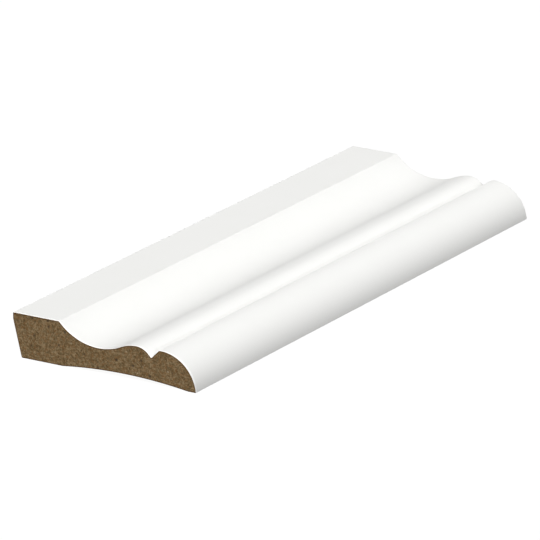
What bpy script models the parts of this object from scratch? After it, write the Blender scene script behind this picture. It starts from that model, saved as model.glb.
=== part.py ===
# Skirting board: one length of moulded fibreboard with a white painted face.
# The board lies on its back. X runs across it from the floor edge to the top
# edge, Y runs along it, and Z rises from its back to its face.
# The origin is at the middle of the board, on the plane of its back.
# Sizes are in metres and angles in radians.

import math

import bmesh
import bpy

# Overall size
BOARD_WIDTH = 0.070
BOARD_THICKNESS = 0.015
BOARD_LENGTH = 0.214

# Moulding cut into the face, each part of it in order from the flat to the nose
COVE_RADIUS = 0.0208
COVE_DEPTH = 0.00644            # below the flat
CREST_STEP = 0.0032             # bead and nose crests, below the flat
BEAD_SHOULDER_RADIUS = 0.0138   # between the cove and the bead's crest
BEAD_RADIUS = 0.0064            # between the bead's crest and the groove
GROOVE_DEPTH = 0.0030           # below the crests
GROOVE_FLANK = math.radians(45)
NOSE_LEDGE = 0.0009             # level strip between the groove and the nose
NOSE_RADIUS = 0.01305

# Floor edge: a narrow square land under the flat, then an undercut to the back
FLOOR_LAND = 0.00216
UNDERCUT = math.radians(14)

# Hollow of the back, between the two feet that bear on the wall
FLOOR_FOOT = 0.0159
TOP_FOOT = 0.0030
HOLLOW_DEPTH = 0.00156

# Longest side of the short straight facets that make up an arc
FACET = 0.0008

# Two points of the outline closer than this are one point
WELD = 0.00001

# Finishes: linear colour and roughness
PAINT_COLOUR = (0.86, 0.86, 0.845)
PAINT_ROUGHNESS = 0.45
FIBREBOARD_COLOUR = (0.165, 0.11, 0.054)
FIBREBOARD_ROUGHNESS = 0.9
SMOOTH_ANGLE = math.radians(25)


def clear_scene():
    for obj in list(bpy.data.objects):
        bpy.data.objects.remove(obj, do_unlink=True)


def make_material(name, colour, roughness):
    material = bpy.data.materials.new(name)
    material.use_nodes = True
    shader = material.node_tree.nodes["Principled BSDF"]
    shader.inputs["Base Color"].default_value = (*colour, 1.0)
    shader.inputs["Roughness"].default_value = roughness
    shader.inputs["Metallic"].default_value = 0.0
    return material


def arc(centre, radius, start, end):
    # Points from angle start to angle end about a centre, both ends included.
    # Angles are measured from +X towards +Z.
    steps = max(2, math.ceil(radius * abs(end - start) / FACET))
    points = []
    for step in range(steps + 1):
        angle = start + (end - start) * step / steps
        points.append((
            centre[0] + radius * math.cos(angle),
            centre[1] + radius * math.sin(angle),
        ))
    return points


def nose_arc():
    # The nose falls from its crest to the back of the board. A nose with a
    # small radius ends upright, and a short square edge carries it down.
    top = BOARD_THICKNESS - CREST_STEP
    centre_z = top - NOSE_RADIUS
    end = -math.asin(min(0.0, centre_z) / NOSE_RADIUS)
    centre_x = BOARD_WIDTH - NOSE_RADIUS * math.cos(end)
    return arc((centre_x, centre_z), NOSE_RADIUS, math.pi / 2, end)


def face_outline():
    # Each stretch is placed from the one beside it, starting at the nose, and
    # the flat takes the rest of the width. The list runs from flat to nose.
    crest = BOARD_THICKNESS - CREST_STEP
    nose = nose_arc()

    # V groove, whose far flank starts at the ledge beside the nose
    flank_run = GROOVE_DEPTH / math.tan(GROOVE_FLANK)
    groove_edge = nose[0][0] - NOSE_LEDGE
    groove_x = groove_edge - flank_run

    # Bead: it turns down until it lies along the groove's near flank
    fall = GROOVE_FLANK
    if BEAD_RADIUS * (1 - math.cos(fall)) > GROOVE_DEPTH:
        fall = math.acos(1 - GROOVE_DEPTH / BEAD_RADIUS)
    straight_drop = GROOVE_DEPTH - BEAD_RADIUS * (1 - math.cos(fall))
    bead_x = (groove_x - straight_drop / math.tan(GROOVE_FLANK)
              - BEAD_RADIUS * math.sin(fall))
    bead = arc((bead_x, crest - BEAD_RADIUS), BEAD_RADIUS,
               math.pi / 2, math.pi / 2 - fall)

    # The cove and the bead's shoulder touch where both slope by this angle
    rise = math.acos(
        1 - (COVE_DEPTH - CREST_STEP) / (COVE_RADIUS + BEAD_SHOULDER_RADIUS))
    shoulder = arc((bead_x, crest - BEAD_SHOULDER_RADIUS), BEAD_SHOULDER_RADIUS,
                   math.pi / 2 + rise, math.pi / 2)
    cove_x = bead_x - (COVE_RADIUS + BEAD_SHOULDER_RADIUS) * math.sin(rise)
    cove_z = BOARD_THICKNESS - COVE_DEPTH + COVE_RADIUS
    cove_start = math.asin((cove_z - BOARD_THICKNESS) / COVE_RADIUS)
    cove = arc((cove_x, cove_z), COVE_RADIUS,
               math.pi + cove_start, 1.5 * math.pi + rise)

    return (cove + shoulder + bead + [(groove_x, crest - GROOVE_DEPTH)]
            + [(groove_edge, crest)] + nose)


def back_outline():
    # From the top edge back to the floor edge: the top foot, the shallow
    # hollow, the floor foot and the undercut that ends at the floor land.
    undercut_run = (BOARD_THICKNESS - FLOOR_LAND) * math.tan(UNDERCUT)
    hollow_start = BOARD_WIDTH - TOP_FOOT
    hollow_end = undercut_run + FLOOR_FOOT
    half_chord = (hollow_start - hollow_end) / 2
    radius = (half_chord ** 2 + HOLLOW_DEPTH ** 2) / (2 * HOLLOW_DEPTH)
    half_angle = math.asin(half_chord / radius)
    centre = (hollow_end + half_chord, HOLLOW_DEPTH - radius)
    hollow = arc(centre, radius, math.pi / 2 - half_angle, math.pi / 2 + half_angle)
    return ([(BOARD_WIDTH, 0.0)] + hollow + [(undercut_run, 0.0)]
            + [(0.0, BOARD_THICKNESS - FLOOR_LAND), (0.0, BOARD_THICKNESS)])


def board_outline():
    outline = []
    for x, z in face_outline() + back_outline():
        point = (x - BOARD_WIDTH / 2, z)
        if not outline or math.dist(point, outline[-1]) > WELD:
            outline.append(point)
    return outline


def make_board(collection):
    # The outline is filled and drawn out to half the length on each side
    outline = board_outline()
    curve = bpy.data.curves.new("board_outline", "CURVE")
    curve.dimensions = "2D"
    curve.fill_mode = "BOTH"
    curve.extrude = BOARD_LENGTH / 2
    spline = curve.splines.new("POLY")
    spline.points.add(len(outline) - 1)
    for point, (x, z) in zip(spline.points, outline):
        point.co = (x, z, 0.0, 1.0)
    spline.use_cyclic_u = True
    drawn = bpy.data.objects.new("board_outline", curve)
    drawn.rotation_euler = (math.pi / 2, 0.0, 0.0)
    collection.objects.link(drawn)
    bpy.context.view_layer.update()

    evaluated = drawn.evaluated_get(bpy.context.evaluated_depsgraph_get())
    mesh = bpy.data.meshes.new_from_object(evaluated)
    mesh.name = "skirting_board"
    board = bpy.data.objects.new("skirting_board", mesh)
    board.matrix_world = drawn.matrix_world.copy()
    collection.objects.link(board)
    bpy.data.objects.remove(drawn, do_unlink=True)

    solid = bmesh.new()
    solid.from_mesh(mesh)
    bmesh.ops.remove_doubles(solid, verts=solid.verts, dist=WELD)
    solid.to_mesh(mesh)
    solid.free()
    return board


def paint_board(board):
    # Paint covers the face and both long edges, the undercut too. The cut ends
    # and the back stay bare.
    mesh = board.data
    mesh.materials.clear()
    mesh.materials.append(make_material("white_paint", PAINT_COLOUR, PAINT_ROUGHNESS))
    mesh.materials.append(make_material(
        "bare_fibreboard", FIBREBOARD_COLOUR, FIBREBOARD_ROUGHNESS))
    turn = board.matrix_world.to_3x3()
    for face in mesh.polygons:
        normal = turn @ face.normal
        is_end = abs(normal.y) > 0.5
        is_back = normal.z < -0.5
        face.material_index = 1 if is_end or is_back else 0
    mesh.shade_smooth()
    mesh.set_sharp_from_angle(angle=SMOOTH_ANGLE)


def main():
    clear_scene()
    collection = bpy.data.collections.new("skirting_board")
    bpy.context.scene.collection.children.link(collection)
    board = make_board(collection)
    paint_board(board)


main()
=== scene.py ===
import math

import bmesh
import bpy
import numpy as np
from mathutils import Matrix, Vector, noise


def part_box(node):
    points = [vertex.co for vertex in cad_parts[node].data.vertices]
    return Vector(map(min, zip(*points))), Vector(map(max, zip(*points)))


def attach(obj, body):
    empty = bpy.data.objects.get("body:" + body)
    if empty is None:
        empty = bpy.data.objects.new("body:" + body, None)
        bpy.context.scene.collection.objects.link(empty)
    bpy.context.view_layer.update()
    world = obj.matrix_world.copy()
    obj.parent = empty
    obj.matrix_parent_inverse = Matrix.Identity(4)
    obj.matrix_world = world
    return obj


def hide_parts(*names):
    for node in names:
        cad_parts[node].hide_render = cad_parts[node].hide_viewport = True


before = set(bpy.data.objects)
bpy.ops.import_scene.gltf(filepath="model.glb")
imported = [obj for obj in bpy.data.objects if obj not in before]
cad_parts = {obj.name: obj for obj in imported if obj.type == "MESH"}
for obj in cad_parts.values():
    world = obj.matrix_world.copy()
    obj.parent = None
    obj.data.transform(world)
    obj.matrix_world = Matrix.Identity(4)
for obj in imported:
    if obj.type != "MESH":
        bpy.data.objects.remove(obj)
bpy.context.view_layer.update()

mm = 0.001
sharpBend = math.radians(32)  # faces that meet at more than this keep their edge
low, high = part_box("skirting_board")
boardWidth, boardLength, boardThickness = [side / mm for side in high - low]
print(f"frame read, board {boardWidth:.1f} x {boardLength:.1f} x {boardThickness:.1f} mm")

# the section in mm: x runs from the floor edge to the top edge, z up from the back
section = {
    "coveRadius": 20.8,
    "coveDepth": 6.44,  # below the flat
    "crestStep": 3.2,  # bead and nose crests, below the flat
    "shoulderRadius": 13.8,  # between the cove and the bead's crest
    "beadRadius": 6.4,
    "grooveDepth": 3.0,  # below the crests
    "grooveFlank": math.radians(45),
    "noseLedge": 0.9,
    "noseRadius": 13.05,
    "floorLand": 2.16,
    "undercut": math.radians(14),
    "floorFoot": 15.9,
    "topFoot": 3.0,
    "hollowDepth": 1.56,
    "arcStep": 0.1,  # between points of an arc
}


def arc(centre, radius, start, end):
    steps = max(2, math.ceil(radius * abs(end - start) / section["arcStep"]))
    turns = [start + (end - start) * step / steps for step in range(steps + 1)]
    return [(centre[0] + radius * math.cos(turn), centre[1] + radius * math.sin(turn))
            for turn in turns]


def faceStretches():
    # smooth stretches from the back of the floor edge, over the face, to the nose;
    # where two of them meet there is a corner
    s = section
    crest = boardThickness - s["crestStep"]
    undercutRun = (boardThickness - s["floorLand"]) * math.tan(s["undercut"])
    noseLow = crest - s["noseRadius"]
    noseEnd = -math.asin(noseLow / s["noseRadius"])
    noseX = boardWidth - s["noseRadius"] * math.cos(noseEnd)
    nose = arc((noseX, noseLow), s["noseRadius"], math.pi / 2, noseEnd)

    flank = s["grooveFlank"]
    ledgeX = noseX - s["noseLedge"]
    grooveX = ledgeX - s["grooveDepth"] / math.tan(flank)
    straight = s["grooveDepth"] - s["beadRadius"] * (1 - math.cos(flank))
    beadX = grooveX - straight / math.tan(flank) - s["beadRadius"] * math.sin(flank)
    bead = arc((beadX, crest - s["beadRadius"]), s["beadRadius"],
               math.pi / 2, math.pi / 2 - flank)

    reach = s["coveRadius"] + s["shoulderRadius"]
    rise = math.acos(1 - (s["coveDepth"] - s["crestStep"]) / reach)
    shoulder = arc((beadX, crest - s["shoulderRadius"]), s["shoulderRadius"],
                   math.pi / 2 + rise, math.pi / 2)
    coveZ = boardThickness - s["coveDepth"] + s["coveRadius"]
    coveStart = math.asin((coveZ - boardThickness) / s["coveRadius"])
    cove = arc((beadX - reach * math.sin(rise), coveZ), s["coveRadius"],
               math.pi + coveStart, 1.5 * math.pi + rise)

    landFoot = (0.0, boardThickness - s["floorLand"])
    arris = (0.0, boardThickness)
    grooveFloor = (grooveX, crest - s["grooveDepth"])
    return [
        [(undercutRun, 0.0), landFoot],
        [landFoot, arris],
        [arris, cove[0]],
        cove + shoulder[1:] + bead[1:] + [grooveFloor],
        [grooveFloor, (ledgeX, crest)],
        [(ledgeX, crest)] + nose,
    ]


def backLine():
    # from the floor edge's back corner to the top edge: foot, hollow, foot
    s = section
    start = (boardThickness - s["floorLand"]) * math.tan(s["undercut"])
    hollowStart = start + s["floorFoot"]
    hollowEnd = boardWidth - s["topFoot"]
    half = (hollowEnd - hollowStart) / 2
    radius = (half ** 2 + s["hollowDepth"] ** 2) / (2 * s["hollowDepth"])
    spread = math.asin(half / radius)
    hollow = arc((hollowStart + half, s["hollowDepth"] - radius), radius,
                 math.pi / 2 + spread, math.pi / 2 - spread)
    return [(start, 0.0)] + hollow + [(boardWidth, 0.0)]


def evenly(points, skipStart, skipEnd, spacing):
    # the same line with even points, cut short at either end
    line = np.array(points)
    run = np.concatenate([[0.0], np.cumsum(np.hypot(*np.diff(line, axis=0).T))])
    left = run[-1] - skipStart - skipEnd
    at = np.linspace(skipStart, run[-1] - skipEnd, max(2, math.ceil(left / spacing) + 1))
    return np.column_stack([np.interp(at, run, line[:, axis]) for axis in (0, 1)])


def softened(stretches, reaches, spacing, bendPoints):
    # joins the stretches and rounds each corner over its reach
    cuts = [0.0] + reaches + [0.0]
    parts = [evenly(stretch, skipStart, skipEnd, spacing)
             for stretch, skipStart, skipEnd in zip(stretches, cuts, cuts[1:])]
    bend = np.linspace(0, 1, bendPoints + 2)[1:-1, None]
    joined = [parts[0]]
    for before, after, stretch in zip(parts, parts[1:], stretches[1:]):
        corner = np.array(stretch[0])
        joined.append((1 - bend) ** 2 * before[-1] + 2 * bend * (1 - bend) * corner
                      + bend ** 2 * after[0])
        joined.append(after)
    return np.concatenate(joined)


def inwardOf(line):
    # unit normals that point into the board, which lies to the right of the line
    ahead = np.gradient(line, axis=0)
    inward = np.column_stack([ahead[:, 1], -ahead[:, 0]])
    return inward / np.linalg.norm(inward, axis=1)[:, None]


def meshPiece(name, points, faces, finishes, faceFinish):
    # points in mm with x from the floor edge
    placed = (np.array(points) - [boardWidth / 2, 0, 0]) * mm
    mesh = bpy.data.meshes.new(name)
    mesh.from_pydata(placed.tolist(), [], faces)
    for finish in finishes:
        mesh.materials.append(finish)
    mesh.polygons.foreach_set("material_index", faceFinish)
    shape = bmesh.new()
    shape.from_mesh(mesh)
    bmesh.ops.recalc_face_normals(shape, faces=shape.faces)
    shape.to_mesh(mesh)
    shape.free()
    mesh.shade_smooth()
    mesh.set_sharp_from_angle(angle=sharpBend)
    piece = bpy.data.objects.new(name, mesh)
    bpy.context.scene.collection.objects.link(piece)
    return piece


class Wire:
    # one socket of a finish's node tree; an expression on wires adds its Math nodes

    def __init__(self, tree, socket=None):
        self.tree = tree
        self.socket = socket

    def node(self, kind, settings=None, values=None, out=0):
        # values that are wires are linked, the others are set
        made = self.tree.nodes.new("ShaderNode" + kind)
        for name, value in (settings or {}).items():
            if name == "stops":
                ramp = made.color_ramp
                while len(ramp.elements) < len(value):
                    ramp.elements.new(1.0)
                for stop, (place, colour) in zip(ramp.elements, value):
                    stop.position = place
                    stop.color = colour
            else:
                setattr(made, name, value)
        for name, value in (values or {}).items():
            if isinstance(value, Wire):
                self.tree.links.new(value.socket, made.inputs[name])
            else:
                made.inputs[name].default_value = value
        return Wire(self.tree, made.outputs[out])

    def sums(self, operation, first, second=0.0):
        return self.node("Math", {"operation": operation}, {0: first, 1: second})

    def __add__(self, other):
        return self.sums("ADD", self, other)

    __radd__ = __add__

    def __sub__(self, other):
        return self.sums("SUBTRACT", self, other)

    def __rsub__(self, other):
        return self.sums("SUBTRACT", other, self)

    def __mul__(self, other):
        return self.sums("MULTIPLY", self, other)

    __rmul__ = __mul__

    def __abs__(self):
        return self.sums("ABSOLUTE", self)

    def fade(self, none, full):
        # 0 at none, 1 at full, smooth between
        if none < full:
            ends = {"From Min": none, "From Max": full, "To Min": 0.0, "To Max": 1.0}
        else:
            ends = {"From Min": full, "From Max": none, "To Min": 1.0, "To Max": 0.0}
        return self.node("MapRange", {"interpolation_type": "SMOOTHSTEP"},
                         {"Value": self, **ends})

    def movedBy(self, shift):
        return self.node("VectorMath", {"operation": "ADD"},
                         {0: self, 1: (shift, shift, shift)})

    def dividedBy(self, sizes):
        return self.node("VectorMath", {"operation": "DIVIDE"}, {0: self, 1: sizes})

    def turnedBy(self, angle):
        # about the board's length
        return self.node("VectorRotate", {"rotation_type": "Y_AXIS"},
                         {"Vector": self, "Angle": angle})

    def cloud(self, size, detail=2.0, roughness=0.5, shift=0.0):
        # soft noise, size in mm
        return self.node("TexNoise", {}, {"Vector": self.movedBy(shift), "Scale": 1 / size,
                                          "Detail": detail, "Roughness": roughness})

    def spots(self, gap, shift):
        # 0 at scattered points about a gap in mm apart, rising away from them
        return self.node("TexVoronoi", {}, {"Vector": self.movedBy(shift), "Scale": 1 / gap})

    def ramp(self, stops):
        return self.node("ValToRGB", {"stops": stops}, {"Fac": self})

    def between(self, none, full):
        # the colour none where this is 0, and full where it is 1
        return self.node("Mix", {"data_type": "RGBA"}, {0: self, 6: none, 7: full}, out=2)

    def blendTo(self, mask, other):
        return mask.between(self, other)

    def dotted(self, place, dots, ragged):
        # this colour with dots over it, whose outline the wire ragged makes uneven
        away = place.spots(dots["gap"], dots["shift"]) + ragged
        return self.blendTo(away.fade(*dots["fade"]) * dots["strength"], dots["colour"])


def newFinish(name):
    material = bpy.data.materials.new(name)
    material.use_nodes = True
    tree = material.node_tree
    place = Wire(tree).node("TexCoord", out="Object")
    inMm = place.node("VectorMath", {"operation": "SCALE"}, {"Vector": place, "Scale": 1 / mm})
    return material, tree.nodes["Principled BSDF"], inMm


def connect(shader, name, wire):
    wire.tree.links.new(wire.socket, shader.inputs[name])


def addRelief(shader, height, depth):
    # shallow relief of the surface, depth in mm
    bump = height.node("Bump", {}, {"Strength": 1.0, "Distance": depth * mm, "Height": height})
    connect(shader, "Normal", bump)


# white paint on the face and both long edges; lengths in mm
paint = {
    "colour": (0.868, 0.868, 0.852, 1.0),
    "shade": (0.850, 0.850, 0.832, 1.0),
    "driftSize": 14.0,  # of the slow change between those two
    "paintedHighlightColour": (0.980, 0.980, 0.970, 1.0),  # painted highlight: the film's colour made brighter near the near end, in place of light catching its edge
    "paintedHighlightReach": 1.2,  # in from that end
    "stainColour": (0.40, 0.25, 0.11, 1.0),  # brown dust right at the cut
    "stainReach": 0.15,
    "roughness": 0.8,
    "roughnessSpread": 0.1,
    "sheenSize": 3.0,
    "specular": 0.08,
    "peelSize": 1.1,  # between the ripples of the sprayed film
    "peelHeight": 0.0016,
    "film": 0.035,  # its thickness
    "spacing": 0.3,  # between points round the section
    "corners": [0.25, 0.16, 0.2, 0.3, 0.16],  # how far each is rounded, floor edge first
    "cornerPoints": 6,
    "lipLength": 0.8,  # the film rolls off towards the cut ends
    "lipDrop": 0.031,
    "lipSteps": 8,
    "setBack": 0.02,  # from the cut ends
    "stations": 44,  # along the length, from lip to lip
}


def paintFinish():
    p = paint
    material, shader, place = newFinish("whitePaint")
    tone = place.cloud(p["driftSize"], detail=3.0).between(p["shade"], p["colour"])
    along = place.node("SeparateXYZ", {}, {"Vector": place}, out="Y")
    nearEnd = -boardLength / 2
    # painted highlight: a brighter band of paint along the near cut end, standing in for light
    # on the film's edge
    paintedHighlight = along.fade(nearEnd + p["paintedHighlightReach"], nearEnd + p["paintedHighlightReach"] / 2)
    stain = along.fade(nearEnd + p["stainReach"], nearEnd + p["stainReach"] / 3)
    tone = tone.blendTo(paintedHighlight, p["paintedHighlightColour"]).blendTo(stain, p["stainColour"])
    connect(shader, "Base Color", tone)
    sheen = place.cloud(p["sheenSize"], shift=7.0)
    connect(shader, "Roughness", p["roughness"] + (sheen - 0.5) * p["roughnessSpread"])
    shader.inputs["Specular IOR Level"].default_value = p["specular"]
    addRelief(shader, place.cloud(p["peelSize"]), p["peelHeight"])
    return material


def paintFilm(finish):
    p = paint
    outer = softened(faceStretches(), p["corners"], p["spacing"], p["cornerPoints"])
    inward = inwardOf(outer)
    inner = outer + inward * p["film"]
    inner[0, 1] = inner[-1, 1] = 0.0  # the film stops level with the back
    end = boardLength / 2 - p["setBack"]
    lip = p["lipLength"]
    lipRuns = [lip * (step / p["lipSteps"]) ** 2 for step in range(p["lipSteps"] + 1)]
    middle = np.linspace(-end + lip, end - lip, p["stations"])
    stations = [-end + run for run in lipRuns] + list(middle[1:-1])
    stations += [end - run for run in reversed(lipRuns)]
    points, faces = [], []
    for y in stations:
        run = min(end - abs(y), lip) / lip
        drop = p["lipDrop"] * (1 - math.sqrt(1 - (1 - run) ** 2))
        rolled = outer + inward * drop
        rolled[0, 1] = rolled[-1, 1] = 0.0
        ring = np.concatenate([rolled, inner[::-1]])
        points += [(x, y, z) for x, z in ring]
    around = len(outer) * 2
    for row in range(len(stations) - 1):
        for step in range(around):
            a = row * around + step
            b = row * around + (step + 1) % around
            faces.append((a, b, b + around, a + around))
    last = (len(stations) - 1) * around
    for step in range(len(outer) - 1):
        strip = (step, step + 1, around - 2 - step, around - 1 - step)
        faces.append(strip)
        faces.append(tuple(corner + last for corner in strip))
    film = meshPiece("paintFilm", points, faces, [finish], [0] * len(faces))
    print("paint film made,", len(faces), "faces")
    return film, inner


# sawn end of the fibreboard; sizes in mm, a fade runs from none to full
cutEnd = {
    "deep": (0.068, 0.039, 0.011, 1.0),
    "brown": (0.149, 0.089, 0.032, 1.0),
    "tan": (0.200, 0.126, 0.055, 1.0),
    "pale": (0.322, 0.230, 0.124, 1.0),
    "toneStops": [0.37, 0.462, 0.538, 0.665],  # those four, from dark to light
    "patchSize": 2.6,
    "patchShare": 0.22,
    "mottleSize": 0.78,
    "mottleShare": 0.50,
    "grainSize": 0.42,
    "grainShare": 0.36,
    "darken": 0.04,  # taken off the sum of the three
    "hueSize": 1.0,
    "hueStrength": 0.68,
    "rust": (0.200, 0.103, 0.035, 1.0),
    "rustFade": (0.50, 0.66),
    "olive": (0.155, 0.112, 0.053, 1.0),
    "oliveFade": (0.50, 0.34),
    "strands": {  # pale strands and dark gaps, lying several ways
        "turns": [8, -34, 58, -80],  # degrees
        "sizes": (0.32, 2.0, 1.7),  # across a strand, into the board, along the strand
        "paleFade": (0.58, 0.70),
        "paleStrength": 0.6,
        "gapFade": (0.40, 0.28),
        "gapStrength": 0.65,
        "patchSize": 2.0,  # they show in patches
        "patchFade": (0.48, 0.62),
    },
    "fibres": {  # single pale fibres
        "shifts": [61.0, 87.0, 113.0],
        "curl": 1.8,
        "fade": (0.030, 0.008),
        "strength": 0.6,
        "patchSize": 2.4,
        "patchFade": (0.50, 0.60),
    },
    "specks": {
        "colour": (0.040, 0.027, 0.016, 1.0),
        "gap": 3.6,
        "shift": 0.0,
        "fade": (0.19, 0.06),
        "strength": 0.75,
    },
    "chips": {
        "colour": (0.460, 0.360, 0.230, 1.0),
        "gap": 3.6,
        "shift": 41.0,
        "fade": (0.12, 0.04),
        "strength": 0.7,
    },
    "rimColour": (0.072, 0.028, 0.001, 1.0),  # the dark line all round
    "rimFade": (0.42, 0.15),
    "rimStrength": 0.95,
    "ragged": 0.10,  # how uneven specks, chips and rim are
    "roughness": 0.9,
    "roughnessSpread": 0.1,
    "specular": 0.2,
    "fluffHeight": 0.05,
}


def cutEndFinish():
    c = cutEnd
    material, shader, place = newFinish("sawnFibreboard")
    patch = place.cloud(c["patchSize"], shift=3.0)
    mottle = place.cloud(c["mottleSize"], roughness=0.55)
    grain = place.cloud(c["grainSize"], roughness=0.6, shift=11.0)
    value = (c["patchShare"] * patch + c["mottleShare"] * mottle + c["grainShare"] * grain
             - c["darken"])
    tones = [c["deep"], c["brown"], c["tan"], c["pale"]]
    tone = value.ramp(list(zip(c["toneStops"], tones)))
    hue = place.cloud(c["hueSize"], detail=1.0, shift=23.0)
    tone = tone.blendTo(hue.fade(*c["rustFade"]) * c["hueStrength"], c["rust"])
    tone = tone.blendTo(hue.fade(*c["oliveFade"]) * c["hueStrength"], c["olive"])
    s = c["strands"]
    for number, turn in enumerate(s["turns"]):
        lying = place.turnedBy(math.radians(turn)).dividedBy(s["sizes"])
        strand = lying.cloud(1.0, detail=1.0, shift=31.0 * number)
        here = place.cloud(s["patchSize"], detail=1.0, shift=5.0 + 17.0 * number)
        here = here.fade(*s["patchFade"])
        tone = tone.blendTo(strand.fade(*s["paleFade"]) * here * s["paleStrength"], c["pale"])
        tone = tone.blendTo(strand.fade(*s["gapFade"]) * here * s["gapStrength"], c["deep"])
    f = c["fibres"]
    for shift in f["shifts"]:
        fibre = abs(place.cloud(f["curl"], detail=1.0, shift=shift) - 0.5).fade(*f["fade"])
        here = place.cloud(f["patchSize"], detail=1.0, shift=shift + 9.0)
        here = here.fade(*f["patchFade"])
        tone = tone.blendTo(fibre * here * f["strength"], c["pale"])
    uneven = (mottle - 0.5) * c["ragged"]
    tone = tone.dotted(place, c["specks"], uneven).dotted(place, c["chips"], uneven)
    edge = place.node("Attribute", {"attribute_name": "rimDistance"}, out="Fac")
    rim = (edge + (grain - 0.5) * c["ragged"]).fade(*c["rimFade"])
    tone = tone.blendTo(rim * c["rimStrength"], c["rimColour"])
    connect(shader, "Base Color", tone)
    connect(shader, "Roughness", c["roughness"] + (grain - 0.5) * c["roughnessSpread"])
    shader.inputs["Specular IOR Level"].default_value = c["specular"]
    addRelief(shader, value, c["fluffHeight"])
    return material


# planed back of the fibreboard, sizes in mm
plainBack = {
    "dark": (0.205, 0.138, 0.072, 1.0),
    "light": (0.300, 0.215, 0.125, 1.0),
    "toneStops": [0.34, 0.62],  # those two
    "mottleSize": 0.9,
    "fibreSizes": (0.35, 2.4, 1.0),  # across the board, along it, through it
    "fibreShare": 0.5,  # the mottling has the rest
    "flecks": {
        "colour": (0.110, 0.070, 0.036, 1.0),
        "gap": 2.4,
        "shift": 0.0,
        "fade": (0.14, 0.05),
        "strength": 0.7,
    },
    "ragged": 0.2,  # how uneven the flecks are
    "spray": (0.80, 0.80, 0.785, 1.0),  # paint that went past the long edges
    "sprayReach": 1.6,
    "sprayMist": 1.3,
    "sprayRagged": 3.0,
    "sprayStrength": 0.75,
    "roughness": 0.82,
    "roughnessSpread": 0.12,
    "specular": 0.25,
    "fibreHeight": 0.02,
}


def plainBackFinish():
    b = plainBack
    material, shader, place = newFinish("planedFibreboard")
    mottle = place.cloud(b["mottleSize"], detail=4.0, roughness=0.6)
    fibre = place.dividedBy(b["fibreSizes"]).cloud(1.0, shift=9.0)
    value = (1 - b["fibreShare"]) * mottle + b["fibreShare"] * fibre
    tone = value.ramp(list(zip(b["toneStops"], [b["dark"], b["light"]])))
    tone = tone.dotted(place, b["flecks"], (fibre - 0.5) * b["ragged"])
    edge = place.node("Attribute", {"attribute_name": "edgeDistance"}, out="Fac")
    mist = place.cloud(b["sprayMist"], detail=4.0, roughness=0.7, shift=19.0)
    spray = (edge + (mist - 0.5) * b["sprayRagged"]).fade(b["sprayReach"], 0.0)
    tone = tone.blendTo(spray * b["sprayStrength"], b["spray"])
    connect(shader, "Base Color", tone)
    connect(shader, "Roughness", b["roughness"] + (fibre - 0.5) * b["roughnessSpread"])
    shader.inputs["Specular IOR Level"].default_value = b["specular"]
    addRelief(shader, value, b["fibreHeight"])
    return material


# the fibreboard under the paint, lengths in mm
core = {
    "rows": 48,  # through the thickness at each cut end
    "stations": 24,  # along the length
    "closest": 0.1,  # between the columns of a cut end
    "tip": 0.25,  # height at which the nose's tip is cut off
    "tipSearch": 4.0,  # that height is looked for this far in from the top edge
    "plumb": 0.005,  # the floor land's points may be this far out of line
    "batches": 20,  # in which the distances to the rim are worked out
    "depth": 0.045,  # how far the sawn ends lie inside the end planes
    "fluff": 0.035,
    "fluffScale": 1.9,
    "fluffLayers": (0.7, 2.1, 4),  # how they weaken, how they shrink, how many
    "sawDepth": 0.012,
    "sawPitch": 1.3,
    "sawLine": (0.94, 0.34),  # across the saw's marks: along the width and upwards
    "sawWander": 0.4,
    "sawWanderScale": 0.12,
    "pitDepth": 0.24,  # for each unit of noise beyond pitStart
    "pitStart": 0.52,
    "pitScale": 0.85,
    "pitShift": 9.0,
    "endShift": 40.0,  # in the noise, so that the two ends differ
}


def cutRelief(x, z, end):
    # how far the sawn surface lies inside the end plane, never outside it
    c = core
    spot = Vector((x, end * c["endShift"], z))
    fluff = noise.fractal(spot * c["fluffScale"], *c["fluffLayers"])
    across = x * c["sawLine"][0] + z * c["sawLine"][1]
    across += c["sawWander"] * noise.noise(spot * c["sawWanderScale"])
    saw = math.sin(across * math.tau / c["sawPitch"])
    moved = spot * c["pitScale"] + Vector([c["pitShift"]] * 3)
    pit = max(0.0, noise.noise(moved) - c["pitStart"])
    depth = c["depth"] + c["fluff"] * fluff + c["sawDepth"] * saw + c["pitDepth"] * pit
    return max(0.0, depth)


def endGrid(inner):
    # the points of a cut end, row by row from the back, and how many make a row
    left = inner[:, 0].min()
    onLeft = np.nonzero(inner[:, 0] < left + core["plumb"])[0]
    back = np.array(backLine())
    back = back[(back[:, 0] > inner[0, 0]) & (back[:, 0] < inner[-1, 0])]
    top = inner[onLeft[-1]:]
    bottom = np.concatenate([inner[:onLeft[0] + 1][::-1], back, inner[-1:]])
    nose = top[top[:, 0] > boardWidth - core["tipSearch"]]
    right = np.interp(-core["tip"], -nose[:, 1], nose[:, 0])
    columns = [left]
    for x in sorted(np.concatenate([top[:, 0], bottom[:, 0]])):
        if x - columns[-1] > core["closest"] and right - x > core["closest"]:
            columns.append(x)
    columns.append(right)
    tops = np.interp(columns, top[:, 0], top[:, 1])
    bottoms = np.interp(columns, bottom[:, 0], bottom[:, 1])
    bottoms[0] = inner[onLeft[0], 1]
    tops[0] = inner[onLeft[-1], 1]
    rows = core["rows"]
    grid = [(x, lowZ + (highZ - lowZ) * row / rows)
            for row in range(rows + 1) for x, lowZ, highZ in zip(columns, bottoms, tops)]
    return grid, len(columns)


def distancesTo(outline, spots):
    # from each spot to the nearest point of the outline
    return np.concatenate([
        np.min(np.hypot(batch[:, None, 0] - outline[None, :, 0],
                        batch[:, None, 1] - outline[None, :, 1]), axis=1)
        for batch in np.array_split(spots, core["batches"])])


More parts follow.
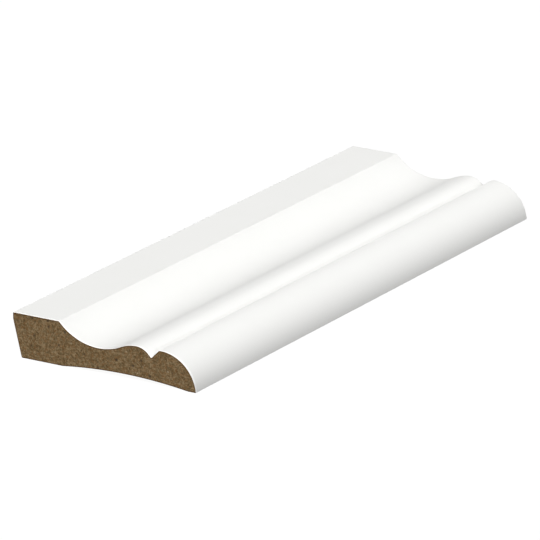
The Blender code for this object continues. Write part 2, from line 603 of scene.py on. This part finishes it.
def fibreboardCore(inner, endFinish, backFinish):
    grid, wide = endGrid(inner)
    rows = core["rows"]
    ring = (list(range(wide))
            + [row * wide + wide - 1 for row in range(1, rows)]
            + [rows * wide + column for column in reversed(range(wide))]
            + [row * wide for row in range(rows - 1, 0, -1)])
    outline = np.array([grid[number] for number in ring])

    half = boardLength / 2
    points, faces, faceFinish = [], [], []
    for end in (-1, 1):
        points += [(x, end * (half - cutRelief(x, z, end)), z) for x, z in grid]
        base = len(points) - len(grid)
        for row in range(rows):
            for column in range(wide - 1):
                a = base + row * wide + column
                faces.append((a, a + 1, a + wide + 1, a + wide))
                faceFinish.append(0)
    rings = [ring]
    for station in range(1, core["stations"]):
        y = -half + boardLength * station / core["stations"]
        rings.append([len(points) + number for number in range(len(ring))])
        points += [(x, y, z) for x, z in outline]
    rings.append([len(grid) + number for number in ring])
    for first, second in zip(rings, rings[1:]):
        for step in range(len(ring)):
            after = (step + 1) % len(ring)
            faces.append((first[step], first[after], second[after], second[step]))
            faceFinish.append(1 if step < wide - 1 else 0)  # a ring starts along the back
    piece = meshPiece("fibreboardCore", points, faces, [endFinish, backFinish], faceFinish)

    # what the two finishes read: how far the rim and the long edges are, in mm
    nearest = distancesTo(outline, np.array(grid))
    rim = np.concatenate([nearest, nearest, np.zeros(len(points) - 2 * len(grid))])
    across = np.array(points)[:, 0]
    edges = np.minimum(np.abs(across - inner[0, 0]), np.abs(across - inner[-1, 0]))
    for name, values in (("rimDistance", rim), ("edgeDistance", edges)):
        layer = piece.data.attributes.new(name, "FLOAT", "POINT")
        layer.data.foreach_set("value", values.astype(np.float32))
    print("fibreboard core made,", len(faces), "faces")
    return piece


film, underPaint = paintFilm(paintFinish())
board = fibreboardCore(underPaint, cutEndFinish(), plainBackFinish())
for piece, slotName in ((board, "bare_fibreboard"), (film, "white_paint")):
    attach(piece, "root")
    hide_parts("skirting_board")

# floor: a white table that glows, so the board's shadow on it stays faint
floorPlan = {
    "size": 14.0,  # metres
    "colour": (0.08, 0.08, 0.08, 1.0),
    "roughness": 0.9,
    "specular": 0.0,
    "glowColour": (1.0, 1.0, 1.0, 1.0),
    "glow": 0.94,
    "gap": 0.00002,  # metres below the board's feet
}


def makeFloor():
    material, shader = newFinish("floorFinish")[:2]
    shader.inputs["Base Color"].default_value = floorPlan["colour"]
    shader.inputs["Roughness"].default_value = floorPlan["roughness"]
    shader.inputs["Specular IOR Level"].default_value = floorPlan["specular"]
    shader.inputs["Emission Color"].default_value = floorPlan["glowColour"]
    shader.inputs["Emission Strength"].default_value = floorPlan["glow"]
    half = floorPlan["size"] / 2
    mesh = bpy.data.meshes.new("floor")
    mesh.from_pydata([(-half, -half, 0), (half, -half, 0), (half, half, 0), (-half, half, 0)],
                     [], [(0, 1, 2, 3)])
    mesh.materials.append(material)
    floor = bpy.data.objects.new("floor", mesh)
    floor.location.z = low.z - floorPlan["gap"]
    floor.visible_diffuse = False  # the table throws no light back up at the nose
    floor.visible_shadow = False  # the lamp under the table shines through it
    bpy.context.scene.collection.objects.link(floor)


makeFloor()
print("floor laid")

# studio light: each lamp is a wide soft source, far away
studio = {
    "backdrop": 1.0,  # white all round, which only the camera sees
    "lamps": {  # degrees round from the top edge's side, degrees up, degrees wide, strength
        "key": (-45, 25, 40, 2.22),  # on the near end and the nose
        "front": (-90, 65, 40, 2.50),  # high over the near end, on the whole face
        "underTable": (128, -25, 40, 3.2),  # on the floor edge, the far end and the back
    },
}


def lightStudio():
    world = bpy.data.worlds.new("studioWhite")
    world.use_nodes = True
    backdrop = world.node_tree.nodes["Background"]
    backdrop.inputs["Strength"].default_value = studio["backdrop"]
    backdrop.inputs["Color"].default_value = (1, 1, 1, 1)
    world.cycles_visibility.diffuse = False
    world.cycles_visibility.glossy = False
    bpy.context.scene.world = world
    for name, (around, up, width, strength) in studio["lamps"].items():
        level = math.cos(math.radians(up))
        toward = Vector((math.cos(math.radians(around)) * level,
                         math.sin(math.radians(around)) * level,
                         math.sin(math.radians(up))))
        lamp = bpy.data.lights.new(name, "SUN")
        lamp.energy = strength
        lamp.angle = math.radians(width)
        holder = bpy.data.objects.new(name, lamp)
        holder.rotation_euler = toward.to_track_quat("Z", "Y").to_euler()
        bpy.context.scene.collection.objects.link(holder)
    bpy.context.scene.view_settings.view_transform = "Standard"
    print("studio lit,", len(studio["lamps"]), "lamps")


lightStudio()

# camera, placed by the near corner of the flat
view = {
    "yaw": math.radians(31.66),
    "pitch": math.radians(18.25),
    "framePixels": 540,
    "focalPixels": 7020,
    "pixelsPerMm": 3.083,  # at the near corner
    "corner": (12.96, 312.2),  # where that corner shows, in pixels
    "sensorWidth": 36,
    "farthest": 50,  # metres
}


def placeCamera():
    v = view
    forward = Vector((-math.sin(v["yaw"]) * math.cos(v["pitch"]),
                      math.cos(v["yaw"]) * math.cos(v["pitch"]), -math.sin(v["pitch"])))
    right = Vector((math.cos(v["yaw"]), math.sin(v["yaw"]), 0))
    up = right.cross(forward)
    away = v["focalPixels"] / v["pixelsPerMm"] * mm
    toSide = (v["corner"][0] - v["framePixels"] / 2) / v["pixelsPerMm"] * mm
    toTop = (v["framePixels"] / 2 - v["corner"][1]) / v["pixelsPerMm"] * mm
    corner = Vector((low.x, low.y, high.z))
    lens = bpy.data.cameras.new("camera")
    lens.sensor_width = v["sensorWidth"]
    lens.lens = v["focalPixels"] / v["framePixels"] * v["sensorWidth"]
    lens.clip_end = v["farthest"]
    camera = bpy.data.objects.new("camera", lens)
    spot = corner - right * toSide - up * toTop - forward * away
    turn = Matrix((right, up, -forward)).transposed().to_4x4()
    camera.matrix_world = Matrix.Translation(spot) @ turn
    bpy.context.scene.collection.objects.link(camera)
    bpy.context.scene.camera = camera
    print("camera placed at", [round(value, 3) for value in spot])


placeCamera()
